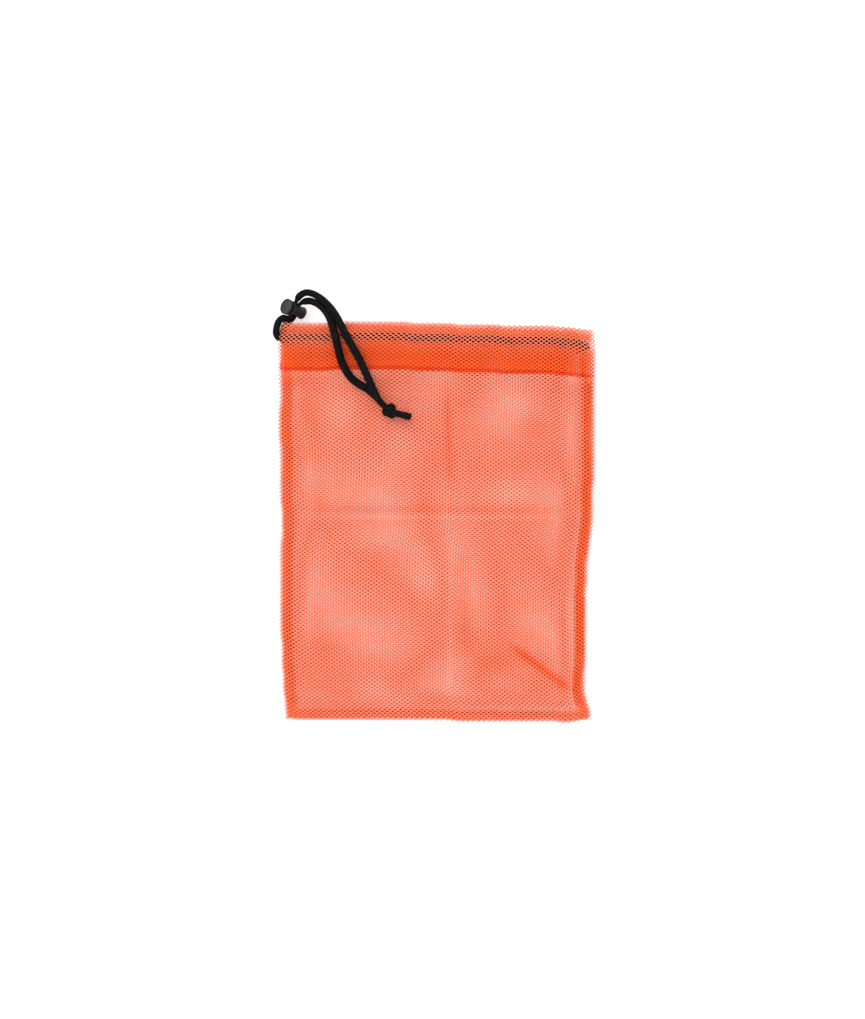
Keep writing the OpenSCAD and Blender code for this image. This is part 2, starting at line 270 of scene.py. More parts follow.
def braidedTube(name, line, radii, sides=None, phase=0.0, slant=0.0):
    sides = sides or cord["sides"]
    relief = cord["relief"]
    n = len(line)
    _, u, v = framesAlong(line)
    far = np.concatenate([[0], np.cumsum(np.linalg.norm(np.diff(line, axis=0), axis=1))])
    ang = np.arange(sides) * 2 * math.pi / sides
    A, S = np.meshgrid(ang, far)
    around = cord["carriers"] * A / 2
    along = math.pi * S / cord["bumpLength"] / 2 + phase
    over = np.abs(np.sin(around + along) * np.sin(around - along))
    rad = np.asarray(radii)[:, None] * (1 - relief + 1.35 * relief * np.sqrt(over))
    ring = (line[:, None, :] + rad[:, :, None] * (np.cos(A)[:, :, None] * u[:, None, :]
                                                   + np.sin(A)[:, :, None] * v[:, None, :]))
    cut = np.outer(np.sin(ang), line[-1] - line[-2]) / np.linalg.norm(line[-1] - line[-2])
    ring[-1] += slant * cut
    verts = ring.reshape(-1, 3).tolist()
    faces, uvs = [], []
    for i in range(n - 1):
        for k in range(sides):
            m = (k + 1) % sides
            faces.append((i * sides + k, i * sides + m, (i + 1) * sides + m, (i + 1) * sides + k))
            uvs.append(((k, i), (k + 1, i), (k + 1, i + 1), (k, i + 1)))
    # rounded, heat-sealed ends
    for end, at, way in ((0, line[0], -1), (n - 1, line[-1], 1)):
        tip = len(verts)
        t = (line[end] - line[end - way]) / np.linalg.norm(line[end] - line[end - way])
        verts.append((at + t * 0.25 * radii[end]).tolist())
        for k in range(sides):
            m = (k + 1) % sides
            a, b = end * sides + k, end * sides + m
            faces.append((b, a, tip) if way < 0 else (a, b, tip))
            uvs.append(((k, end), (k + 1, end), (k + 0.5, end)))
    obj = newObject(name, (np.array(verts) * mm), faces)
    layer = obj.data.uv_layers.new(name="cordUv")
    flat = []
    for quad in uvs:
        for k, i in quad:
            flat.extend((k / sides, far[min(i, n - 1)] * mm))
    layer.data.foreach_set("uv", flat)
    return obj


lockSpots = {"front": np.array(arcAt(160, arc["side"])), "back": np.array(arcAt(160, -arc["side"]))}


def strandRadii(line, spot):
    away = np.linalg.norm(line - spot, axis=1)
    full, thin = cord["width"] / 2, cord["pinchWidth"] / 2
    radii = thin + (full - thin) * ease((away - 5.8) / 3.6)
    left = np.linalg.norm(line - line[-1], axis=1)  # swells on the bag, tightens at the knot
    swell = 1 + (cord["bulge"] - 1) * ease((away - 20) / 14) * ease((left - 6) / 10)
    return radii * swell * (1 - 0.2 * (1 - ease(left / 12)))


def makeStrand(name, route, spot, phase):
    line, length = curveThrough(route, 0.32)
    obj = braidedTube(name, line, strandRadii(line, lockSpots[spot]), phase=phase)
    return obj, line, length


frontStrand, frontLine, frontLength = makeStrand("frontStrand", frontRoute, "front", 0.0)
backStrand, backLine, backLength = makeStrand("backStrand", backRoute, "back", 0.9)
print("strands", round(frontLength, 1), round(backLength, 1), "mm long")

knot = {"at": (-32.7, 78.0, 15.1), "loop": 1.14, "radius": 2.2, "turn": 38.0, "climb": 1.7}


def knotLine():
    # open three-lobed path: in from the strands, over, round and out to the tails
    pts = []
    turn = math.radians(knot["turn"])
    for k in range(0, 61):
        t = 2 * math.pi * k / 60 * 0.94 + 0.2
        x = math.sin(t) + 2 * math.sin(2 * t)
        y = math.cos(t) - 2 * math.cos(2 * t)
        z = -1.25 * math.sin(3 * t)
        x, y = x * knot["loop"], y * knot["loop"]
        pts.append((knot["at"][0] + x * math.cos(turn) - y * math.sin(turn),
                    knot["at"][1] + x * math.sin(turn) + y * math.cos(turn),
                    knot["at"][2] + z * knot["climb"] / 1.25))
    return curveThrough(pts, 0.4)[0]


knotPath = knotLine()
knotPiece = braidedTube("drawcordKnot", knotPath, np.full(len(knotPath), knot["radius"]), sides=28)
tailRoutes = {
    "frontTail": [(-30.6, 77.2, 17.2), (-27.6, 76.3, 17.5), (-24, 75.4, 17.3), (-20.6, 74.5, 17.1),
                  (-18.4, 73.9, 17.0)],
    "backTail": [(-30.6, 77.2, 13.0), (-27.6, 76.4, 12.6), (-24.4, 75.6, 12.5), (-21.4, 74.8, 12.4),
                 (-19.6, 74.3, 12.4)],
}
tails = {}
for tailName, tailPoints in tailRoutes.items():
    tailLine = curveThrough(tailPoints, 0.35)[0]
    grow = 1 + 0.04 * ease(np.linspace(-1.2, 1, len(tailLine)))
    tails[tailName] = braidedTube(tailName, tailLine, 2.3 * grow, sides=28, slant=0.8)
print("knot and tails made")

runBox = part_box("drawcord_casing_run")
runEnds = {"frontZ": runBox[1][2] / mm - 2.4, "backZ": runBox[0][2] / mm + 2.4, "turnX": 99.0,
           "frontDrop": 11.0, "backDrop": 15.5}

# shape of the flat bag, felt out on the CAD solids

def treeOf(node):
    return BVHTree.FromObject(nodes[node], bpy.context.evaluated_depsgraph_get())


backTree = treeOf("back_panel")


def insideBag(x, y):
    hits = np.zeros(len(x), dtype=bool)
    for k in range(len(x)):
        hits[k] = backTree.ray_cast(Vector((x[k] * mm, y[k] * mm, 1.0)), Vector((0, 0, -1)))[0] is not None
    return hits


def edgeTables():
    xs = np.arange(-114.0, 114.5, 1.0)
    ys = np.arange(-143.0, 143.5, 1.0)
    gx, gy = np.meshgrid(xs, ys)
    mask = insideBag(gx.ravel(), gy.ravel()).reshape(gx.shape)

    def ends(rows, along, across, low, high):
        # first and last hit of each row, away from the rounded corners, smoothed
        pick = (along >= low) & (along <= high)
        pair = np.array([(across[hit[0]], across[hit[-1]])
                         for hit in (np.flatnonzero(row) for row in rows[pick])])
        out = []
        for a in pair.T:
            for _ in range(3):
                a = np.convolve(np.pad(a, 2, mode="edge"), np.ones(5) / 5, mode="valid")
            out.append(a)
        return along[pick], out[0], out[1]
    return (*ends(mask.T, xs, ys, -106, 106), *ends(mask, ys, xs, -137, 133))


edgeX, bottomY, topY, edgeY, leftX, rightX = edgeTables()
clothReach = 0.4  # mm that the net stands out past the solid


def topEdge(x):
    return np.interp(x, edgeX, topY) + clothReach


def bottomEdge(x):
    return np.interp(x, edgeX, bottomY) - clothReach


def leftEdge(y):
    return np.interp(y, edgeY, leftX) - clothReach


def rightEdge(y):
    return np.interp(y, edgeY, rightX) + clothReach


class Field:
    # a smooth height over the bag, read off the top of one CAD solid
    def __init__(self, node, step=2.0, passes=2):
        tree = treeOf(node)
        low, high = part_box(node)
        self.step = step
        self.x0, self.y0 = -118.0, -148.0
        nx, ny = int(236 / step) + 1, int(296 / step) + 1
        grid = np.full((ny, nx), np.nan)
        for j in range(ny):
            for i in range(nx):
                hit = tree.ray_cast(Vector(((self.x0 + i * step) * mm, (self.y0 + j * step) * mm, 1.0)),
                                    Vector((0, 0, -1)))[0]
                if hit is not None:
                    grid[j, i] = hit.z / mm
        for _ in range(60):  # spread outwards so that samples at the rim stay level
            hole = np.isnan(grid)
            if not hole.any():
                break
            pad = np.pad(grid, 1, constant_values=np.nan)
            around = np.stack([pad[:-2, 1:-1], pad[2:, 1:-1], pad[1:-1, :-2], pad[1:-1, 2:]])
            count = (~np.isnan(around)).sum(axis=0)
            total = np.nansum(around, axis=0)
            grid = np.where(hole & (count > 0), total / np.maximum(count, 1), grid)
        grid = np.nan_to_num(grid, nan=float(np.nanmean(grid)))
        for _ in range(passes):
            pad = np.pad(grid, 1, mode="edge")
            grid = (pad[:-2, 1:-1] + pad[2:, 1:-1] + pad[1:-1, :-2] + pad[1:-1, 2:]
                    + 4 * pad[1:-1, 1:-1]) / 8
        self.grid = grid

    def at(self, x, y):
        fx = np.clip((x - self.x0) / self.step, 0, self.grid.shape[1] - 1.001)
        fy = np.clip((y - self.y0) / self.step, 0, self.grid.shape[0] - 1.001)
        i, j = fx.astype(int), fy.astype(int)
        u, v = ease(fx - i) * 0.3 + (fx - i) * 0.7, ease(fy - j) * 0.3 + (fy - j) * 0.7
        g = self.grid
        return ((g[j, i] * (1 - u) + g[j, i + 1] * u) * (1 - v)
                + (g[j + 1, i] * (1 - u) + g[j + 1, i + 1] * u) * v)


frontField = Field("front_panel")
backHemField = Field("back_casing_hem")
print("bag shape read")

# wrinkles

wrinkles = [  # from (x, y) to (x, y), height, half width, all in mm
    ((7.2, -138), (8.2, 100), 0.5, 3.0),
    ((-108, 6.5), (108, 4.5), 0.45, 3.0),
    ((44, -89), (105, -136), 1.3, 7.0),
    ((62, -82), (106, -122), 0.9, 6.0),
    ((20, -118), (98, -138), 0.8, 6.0),
    ((96, -60), (104, -118), 0.9, 5.0),
    ((-98, 70), (-60, 100), 0.8, 8.0),
    ((-60, -30), (-10, -70), 0.7, 12.0),
    ((-90, -100), (-40, -60), 0.7, 12.0),
    ((20, 20), (60, 85), 0.8, 12.0),
    ((-40, 40), (30, 60), 0.6, 10.0),
    ((40, -20), (95, 30), 0.7, 10.0),
]


cloth = {"half": 110.2, "low": -140.4, "top": 138.6}  # the bag as a plain rectangle of net


def toBag(s, t):
    # bends the plain rectangle so that its rows and columns follow the bag's own edges
    u = (s + cloth["half"]) / (2 * cloth["half"])
    v = (t - cloth["low"]) / (cloth["top"] - cloth["low"])
    x = leftEdge(t) * (1 - u) + rightEdge(t) * u
    y = bottomEdge(s) * (1 - v) + topEdge(s) * v
    return x, y


paintedLightPatches = [  # painted light patches, and painted shade where the amount is negative: x, y, half width, half height in mm, and how much lighter (or deeper)
    (-68, 76, 13, 15, 0.26), (-26, 58, 15, 13, 0.18), (50, 20, 20, 12, 0.30),
    (-8, -36, 11, 17, 0.24), (-45, -10, 22, 8, 0.16), (-44, -117, 13, 8, 0.26),
    (-28, -125, 13, 7, 0.18), (14, -117, 12, 9, 0.14), (55, 87, 13, 9, 0.13),
    (-92, 58, 9, 22, -0.16), (66, 66, 12, 10, -0.13), (-75, -89, 18, 10, -0.10),
    (44, -96, 20, 9, -0.13), (84, -112, 18, 7, -0.08)]
foldShadeAndHighlight = [  # painted shade and painted highlight along folds in the cloth: from (x, y) to (x, y), half width in mm, lighter or deeper
    ((48, -82), (97, -120), 2.8, -0.30), ((7, 104), (9, 16), 2.2, -0.20),
    ((11, 2), (9, -136), 1.8, 0.16), ((19, -4), (21, -104), 4.5, -0.13),
    ((-106, 10), (106, 9), 3.2, -0.14), ((-102, 4.5), (102, 3.5), 1.2, 0.15)]


def alongLine(x, y, a, b, wide):
    # 1 on the line from a to b, fading out sideways and at both ends
    dx, dy = b[0] - a[0], b[1] - a[1]
    long = math.hypot(dx, dy)
    t = ((x - a[0]) * dx + (y - a[1]) * dy) / long ** 2
    off = ((x - a[0]) * dy - (y - a[1]) * dx) / long
    return np.exp(-(off / wide) ** 2) * ease(t / 0.25) * ease((1 - t) / 0.25)


tones = {  # how pale the yarn is painted: 0 is deep orange, painted shade where many layers lie together, 1 is pale, painted light through the net's holes
    "plain": 0.68, "leftBand": 0.25, "rightBand": 0.32, "footBand": 0.15,
    # painted light and shade of the casing by the distance below the mouth, in mm
    "casingDrop": [2.0, 4.0, 7.5, 9.5, 13.0, 15.0, 18.0, 24.0, 31.2, 32.4, 33.8, 34.6],
    "casingTone": [0.80, 0.50, 0.44, 0.60, 0.60, 0.42, 0.38, 0.30, 0.27, 0.0, 0.0, 0.30],
    "casingEnd": 34.4,
}


# yarn tone over the bag: painted light through the net, painted light patches and fold shade, and painted
# shade over the seam allowances and the casing's layers
def paintedLightAndShadeAt(x, y):
    drop = topEdge(x) - y
    side = np.minimum(x - leftEdge(y), rightEdge(y) - x)
    foot = y - bottomEdge(x)
    below = ease((drop - 33.4) / 1.2)
    tone = np.full(x.shape, tones["plain"])
    # painted light patches
    for bx, by, wide, high, much in paintedLightPatches:
        tone += much * np.exp(-((x - bx) / wide) ** 2 - ((y - by) / high) ** 2)
    # painted shade and highlight along the folds
    for a, b, wide, much in foldShadeAndHighlight:
        tone += much * alongLine(x, y, a, b, wide)
    band = ease((side - 1.6) / 1.4) * ease((10.0 - side) / 2.2)
    footBand = ease((foot - 1.6) / 1.2) * ease((9.6 - foot) / 2.2)
    sideTone = np.where(x < 0, tones["leftBand"], tones["rightBand"])
    # painted shade where the seam allowances lie under the panel
    tone -= sideTone * band * below + tones["footBand"] * footBand * (1 - band)
    casing = np.interp(drop, tones["casingDrop"], tones["casingTone"])
    return np.clip(np.where(drop < tones["casingEnd"], casing * (1 - below) + tone * below, tone), 0, 1)


def strandShare(s, t):
    # the yarns are drawn apart over the cord and along the open edges
    drop = cloth["top"] - t
    rim = np.minimum(cloth["half"] - np.abs(s), t - cloth["low"])
    thin = ease((drop - 5.5) / 2) * ease((16.5 - drop) / 2) + ease((3.4 - rim) / 1.2) \
        + ease((3.4 - drop) / 1.2)
    over = ease((drop - 7.5) / 1.5) * ease((14.5 - drop) / 1.5)
    return 1 - net["edgeThin"] * np.clip(thin, 0, 1) - net["overCordThin"] * over


def wrinkleLift(x, y):
    return sum(high * alongLine(x, y, a, b, wide) for a, b, high, wide in wrinkles)


def drift(x, y, seed):
    # slow sideways wander of the cloth's own grid
    a = np.sin(x / 31.0 + 1.7 * seed + 0.6 * np.sin(y / 44.0)) + 0.6 * np.sin(y / 23.0 - seed)
    b = np.sin(y / 37.0 - 0.8 * seed + 0.7 * np.sin(x / 39.0)) + 0.6 * np.sin(x / 27.0 + seed)
    return a, b


# net of diamond holes

net = {
    "cellX": 3.82,    # mm from hole to hole across
    "cellY": 2.64,    # mm from row to row
    "strand": 1.04,   # width of a strand
    "backStrand": 1.28,
    "edgeThin": 0.24,      # share by which strands are thinner along open edges
    "overCordThin": 0.15,  # and over the cord
    "thick": 0.56,    # thickness of the cloth
}


def makeNet(name, box, keep, place, turn=0.0, shift=(0.0, 0.0), strand=None, fade=0.0):
    a, b = net["cellX"], net["cellY"]
    slant = math.atan2(b, a)
    c, s = math.cos(math.radians(turn)), math.sin(math.radians(turn))
    (x0, y0), (x1, y1) = box
    ni, nj = int((x1 - x0) / a) * 2 + 24, int((y1 - y0) / b) * 2 + 24
    mx, my = (x0 + x1) / 2 + shift[0], (y0 + y1) / 2 + shift[1]
    i, j = np.meshgrid(np.arange(-ni // 2, ni // 2), np.arange(-nj // 2, nj // 2), indexing="ij")
    i, j = i.ravel(), j.ravel()

    def flat(p, q):
        # the turn fades out at the rim, where the cloth was cut along its own rows
        rim = np.minimum(cloth["half"] - np.abs(p + mx), np.minimum(q + my - cloth["low"],
                                                                    cloth["top"] - q - my))
        inner = ease(rim / fade) if fade else 1.0
        return (mx + p + inner * ((c - 1) * p - s * q), my + q + inner * (s * p + (c - 1) * q))
    holes = (i + j) % 2 == 0
    hi, hj = i[holes], j[holes]
    hx, hy = flat(hi * a / 2, hj * b / 2)
    near = (hx > x0) & (hx < x1) & (hy > y0) & (hy < y1)
    hi, hj, hx, hy = hi[near], hj[near], hx[near], hy[near]
    ok = keep(hx, hy)
    hi, hj = hi[ok], hj[ok]
    corners = [(1, 0), (0, 1), (-1, 0), (0, -1)]
    big = 4096  # more than any row or column number
    keys = np.stack([(hi + p + big) * (2 * big) + (hj + q + big) for p, q in corners], axis=1)
    used, index = np.unique(keys, return_inverse=True)
    index = index.reshape(keys.shape)
    ui, uj = used // (2 * big) - big, used % (2 * big) - big
    kx, ky = flat(ui * a / 2, uj * b / 2)
    count, cells = len(used), len(hi)
    ux, uy, ul = [kx, kx], [ky, ky], [np.ones(count), -np.ones(count)]
    w = (strand or net["strand"]) / 2 * strandShare(*flat(hi * a / 2, hj * b / 2))
    inX, inY = a / 2 - w / math.sin(slant), b / 2 - w / math.cos(slant)
    for p, q in corners:
        px, py = flat(hi * a / 2 + p * inX, hj * b / 2 + q * inY)
        ux.append(px)
        uy.append(py)
        ul.append(np.zeros(cells))
    x, y, lift = np.concatenate(ux), np.concatenate(uy), np.concatenate(ul)
    verts = place(x, y, lift * net["thick"] / 2)
    faces = []
    up, down = index, index + count
    inner = 2 * count + np.arange(cells)[:, None] + cells * np.arange(4)[None, :]
    for k in range(4):
        m = (k + 1) % 4
        faces.append(np.stack([up[:, k], up[:, m], inner[:, m], inner[:, k]], axis=1))
        faces.append(np.stack([down[:, m], down[:, k], inner[:, k], inner[:, m]], axis=1))
    # the rim: edges that only one cell has
    eA = np.concatenate([index[:, k] for k in range(4)])
    eB = np.concatenate([index[:, (k + 1) % 4] for k in range(4)])
    code = np.minimum(eA, eB).astype(np.int64) * (count + 1) + np.maximum(eA, eB)
    _, first, times = np.unique(code, return_index=True, return_counts=True)
    rim = first[times == 1]
    faces.append(np.stack([eA[rim] + count, eB[rim] + count, eB[rim], eA[rim]], axis=1))
    faces = np.concatenate(faces)
    obj = newObject(name, verts * mm, faces.tolist())
    # each point stores its painted light and shade tone
    tone = obj.data.attributes.new("tone", "FLOAT", "POINT")
    tone.data.foreach_set("value", paintedLightAndShadeAt(verts[:, 0], verts[:, 1]).astype(np.float32))
    return obj, cells


def layOn(height, seed=0.0, wander=0.0, tops=0.0):
    # puts flat cloth points on a height, with the strands' thickness along the slope's normal
    def place(x, y, lift):
        x, y = toBag(x, y)
        ax, by = drift(x, y, seed)
        inner = ease(np.minimum(np.minimum(x - leftEdge(y), rightEdge(y) - x),
                                np.minimum(y - bottomEdge(x), topEdge(x) - y)) / 20)
        x, y = x + wander * ax * inner, y + wander * by * inner
        z = height(x, y)
        d = 0.6
        gx = (height(x + d, y) - height(x - d, y)) / (2 * d)
        gy = (height(x, y + d) - height(x, y - d)) / (2 * d)
        long = np.sqrt(1 + gx * gx + gy * gy)
        return np.stack([x - lift * gx / long, y - lift * gy / long, z + lift / long], axis=1)
    return place


def frontHeight(x, y):
    rim = np.minimum(np.minimum(x - leftEdge(y), rightEdge(y) - x), y - bottomEdge(x))
    body = ease((rim - 3) / 14)
    drop = topEdge(x) - y
    bodyOnly = ease((drop - 40) / 12)
    z = frontField.at(x, y) - 0.4 + wrinkleLift(x, y) * body * bodyOnly
    fold = 1 - ease(drop / 1.6)
    return z - 0.38 * fold


def backHeight(x, y):
    return 0.42 + 0.06 * np.sin(x / 9.0) * np.sin(y / 13.0)


hem = {"left": -107.5, "backLeft": -103.0, "right": 98.0, "depth": 34.5}


def hemKeep(left):
    def keep(s, t):
        drop = cloth["top"] - t
        return (s > left) & (s < hem["right"]) & (drop > 3.2) & (drop < hem["depth"])
    return keep


def panelKeep(s, t):
    return ((np.abs(s) < cloth["half"] - 1.2) & (t > cloth["low"] + 0.9) & (t < cloth["top"] - 0.9))


def frontHemHeight(x, y):
    return 11.4 + 0.38 * (1 - ease((topEdge(x) - y) / 1.6)) + 0 * x


def backHemHeight(x, y):
    return backHemField.at(x, y) - 0.4 - 0.35 * (1 - ease((topEdge(x) - y) / 1.6))


bagBox = ((-113.0, -143.0), (113.0, 143.0))
backNet, backCells = makeNet("backPanelNet", bagBox, panelKeep, layOn(backHeight, 1.3, 0.5),
                             turn=-0.8, shift=(0.9, 0.4), fade=30.0, strand=net["backStrand"])
frontNet, frontCells = makeNet("frontPanelNet", bagBox, panelKeep, layOn(frontHeight, 0.2, 0.6),
                               turn=0.6, fade=30.0)
frontHemNet, _ = makeNet("frontHemNet", ((-112, 96), (112, 143)), hemKeep(hem["left"]),
                         layOn(frontHemHeight, 2.2, 0.3), turn=-1.4, shift=(0.7, 0.9))
backHemNet, _ = makeNet("backHemNet", ((-112, 96), (112, 143)), hemKeep(hem["backLeft"]),
                        layOn(backHemHeight, 3.1, 0.3), turn=-0.9, shift=(1.4, 0.2))
print("nets", frontCells, backCells, "cells")

# seam allowances: two layers of the same net turned in

seam = {"inset": 2.4, "width": 6.5, "low": 1.05, "high": 1.65, "strand": 0.84}


def stripKeep(side):
    def keep(s, t):
        if side == "bottom":
            d, ends = t - cloth["low"], np.abs(s) < 100
        else:
            d = cloth["half"] + (s if side == "left" else -s)
            ends = (t > -128) & (t < 100)
        return (d > seam["inset"] + 0.4) & (d < seam["inset"] + seam["width"] - 0.4) & ends
    return keep


def levelAt(z):
    return lambda x, y: z + 0 * x


def joinObjects(name, objs):
    only(objs[0])
    for o in objs:
        o.select_set(True)
    bpy.ops.object.join()
    joined = bpy.context.view_layer.objects.active
    joined.name = name
    joined.data.name = name
    bpy.ops.object.select_all(action="DESELECT")
    return joined


allowances = {}
for side, box in (("left", ((-113, -132), (-96, 104))), ("right", ((90, -132), (113, 104))),
                  ("bottom", ((-104, -143), (104, -126)))):
    layers = []
    for k, z in enumerate((seam["low"], seam["high"])):
        layer, _ = makeNet(side + "Layer" + str(k), box, stripKeep(side), layOn(levelAt(z), k + 4.0, 0.2),
                           turn=1.2 - 2.1 * k, shift=(0.8 * k, 1.1 * k + 0.3), strand=seam["strand"])
        layers.append(layer)
    allowances[side] = joinObjects(side + "AllowanceNet", layers)
print("seam allowances made")

# threads

thread = {"width": 0.34, "overlockPitch": 1.9, "overlockWidth": 3.0, "stitch": 2.6, "gap": 0.45,
          "rowDrop": 33.0}


def plainTube(points, radius, sides=6):
    line = np.array(points, dtype=float)
    _, u, v = framesAlong(line)
    ang = np.arange(sides) * 2 * math.pi / sides
    ring = (line[:, None, :] + radius * (np.cos(ang)[None, :, None] * u[:, None, :]
                                          + np.sin(ang)[None, :, None] * v[:, None, :]))
    verts = ring.reshape(-1, 3) * mm
    n = len(line)
    faces = [(i * sides + k, i * sides + (k + 1) % sides, (i + 1) * sides + (k + 1) % sides,
              (i + 1) * sides + k) for i in range(n - 1) for k in range(sides)]
    faces.append(tuple(range(sides - 1, -1, -1)))
    faces.append(tuple((n - 1) * sides + k for k in range(sides)))
    return verts.tolist(), faces


def overlock(side):
    # looped thread over the raw edge of an allowance
    inner = seam["inset"] + seam["width"]
    outer = inner - thread["overlockWidth"]
    span = np.arange(-127.5, 99.5, thread["overlockPitch"] / 2) if side != "bottom" else \
        np.arange(-99.5, 99.5, thread["overlockPitch"] / 2)
    points = []
    for k, s in enumerate(span):
        d = inner + 0.25 if k % 2 else outer
        z = 2.12 if k % 2 == 0 else 1.9
        if side == "left":
            points.append((leftEdge(s) + d, s, z))
        elif side == "right":
            points.append((rightEdge(s) - d, s, z))
        else:
            points.append((s, bottomEdge(s) + d, z))
    line = curveThrough(points, 0.55)[0]
    straight = []
    for s in span[::4]:
        if side == "left":
            straight.append((leftEdge(s) + outer, s, 2.2))
        elif side == "right":
            straight.append((rightEdge(s) - outer, s, 2.2))
        else:
            straight.append((s, bottomEdge(s) + outer, 2.2))
    return [plainTube(line, thread["width"] / 2, 5), plainTube(straight, thread["width"] / 2, 5)]


overlocks = {s: joinMeshes(s + "Overlock", overlock(s)) for s in ("left", "right", "bottom")}


def stitchRow(height, left):
    parts = []
    x = left + 1.0
    step = thread["stitch"] + thread["gap"]
    while x < hem["right"] - 2:
        pts = []
        for t in (0.0, 0.15, 0.5, 0.85, 1.0):
            px = x + t * thread["stitch"]
            py = float(topEdge(px)) - thread["rowDrop"]
            sag = 0.22 * (1 - math.sin(math.pi * t) ** 0.5)
            pts.append((px, py, height(px, py) + 0.34 - sag))
        parts.append(plainTube(pts, thread["width"] / 2, 6))
        x += step
    return parts


frontStitches = joinMeshes("frontCasingStitches", stitchRow(
    lambda x, y: float(frontHeight(np.array([x]), np.array([y]))[0]), hem["left"]))
backStitches = joinMeshes("backCasingStitches", stitchRow(
    lambda x, y: float(backHemHeight(np.array([x]), np.array([y]))[0]), hem["backLeft"]))


def bartack():
    parts = []
    low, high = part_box("cord_exit_bartack")
    cx = (low[0] + high[0]) / 2 / mm
    for k in range(12):
        y = low[1] / mm + 0.25 + k * 0.4
        z = float(frontHeight(np.array([cx]), np.array([y]))[0]) + 0.36
        parts.append(plainTube([(cx - 0.75, y, z - 0.1), (cx - 0.4, y, z), (cx + 0.4, y + 0.1, z),
                                (cx + 0.75, y + 0.1, z - 0.1)], 0.16, 6))
    return parts


tack = joinMeshes("cordExitBartack", bartack())
print("threads made")

# drawcord inside the casing

def casingRun():
    pts = []
    for x in np.linspace(-109, runEnds["turnX"], 40):
        pts.append((x, float(topEdge(x)) - runEnds["frontDrop"], runEnds["frontZ"]))
    pts[0] = frontExit
    r = (runEnds["frontZ"] - runEnds["backZ"]) / 2
    for k in range(1, 12):
        a = math.radians(90 - k * 15)
        drop = runEnds["frontDrop"] + (runEnds["backDrop"] - runEnds["frontDrop"]) * k / 12
        pts.append((runEnds["turnX"] + r * math.cos(a), float(topEdge(runEnds["turnX"])) - drop,
                    runEnds["backZ"] + r + r * math.sin(a)))
    for x in np.linspace(runEnds["turnX"], -103.5, 40):
        pts.append((x, float(topEdge(x)) - runEnds["backDrop"], runEnds["backZ"]))
    pts[-1] = backExit
    return curveThrough(pts, 0.42)[0]


runLine = casingRun()
runPiece = braidedTube("casingCord", runLine, np.full(len(runLine), cord["width"] / 2), sides=24)
print("casing cord made")

# cord lock

lock = {"footWidth": 8.8, "footHigh": 1.4, "bodyWidth": 8.6, "rimWidth": 10.6, "rimHigh": 1.4,
        "rimLow": 3.6, "stemWidth": 6.4, "buttonWidth": 11.2, "buttonHigh": 1.2, "buttonLow": 7.1,
        "footLow": -8.0, "boreLow": -7.0, "stemLow": -4.2, "edge": 0.28,
        "boreGap": 0.2, "slotReach": 3.1, "press": 2.0, "dishWidth": 9.4, "faceWidth": 8.6}


def lockPlace():
    a = math.radians(arc["bearing"])
    at = (arc["x"] + arc["radius"] * math.cos(a), arc["y"] + arc["radius"] * math.sin(a), arc["z"])
    return (Matrix.Translation(Vector(at) * mm) @ Matrix.Rotation(a, 4, "Z")
            @ Matrix.Rotation(math.radians(90 - arc["tilt"]), 4, "Y") @ Matrix.Scale(mm, 4))


def pickTop(obj):
    bpy.ops.object.mode_set(mode="OBJECT")
    top = max(p.center.z for p in obj.data.polygons)
    for p in obj.data.polygons:
        p.select = p.normal.z > 0.9 and p.center.z > top - 0.001
    for v in obj.data.vertices:
        v.select = False
    for e in obj.data.edges:
        e.select = False
    for p in obj.data.polygons:
        if p.select:
            for v in p.vertices:
                obj.data.vertices[v].select = True
    bpy.ops.object.mode_set(mode="EDIT")
    bpy.ops.mesh.select_mode(type="FACE")


def turned(name, firstWidth, low, steps):
    # a round part drawn upwards from its foot: steps are (new width or None, height)
    bpy.ops.object.select_all(action="DESELECT")
    bpy.ops.mesh.primitive_cylinder_add(vertices=56, radius=firstWidth / 2, depth=steps[0][1],
                                        location=(0, 0, low + steps[0][1] / 2))
    obj = bpy.context.object
    obj.name = name
    obj.data.name = name
    bpy.ops.object.transform_apply(location=True, rotation=True, scale=True)
    wide = firstWidth
    bpy.ops.object.mode_set(mode="EDIT")
    bpy.ops.mesh.select_mode(type="FACE")
    for newWide, high in steps[1:]:
        pickTop(obj)
        if newWide is not None and newWide < wide:
            bpy.ops.mesh.inset(thickness=(wide - newWide) / 2)
        elif newWide is not None:
            bpy.ops.mesh.extrude_region_move(TRANSFORM_OT_translate={"value": (0, 0, 0)})
            bpy.ops.transform.resize(value=(newWide / wide, newWide / wide, 1))
        wide = newWide or wide
        bpy.ops.mesh.extrude_region_move(TRANSFORM_OT_translate={"value": (0, 0, high)})
    bpy.ops.object.mode_set(mode="OBJECT")
    return obj


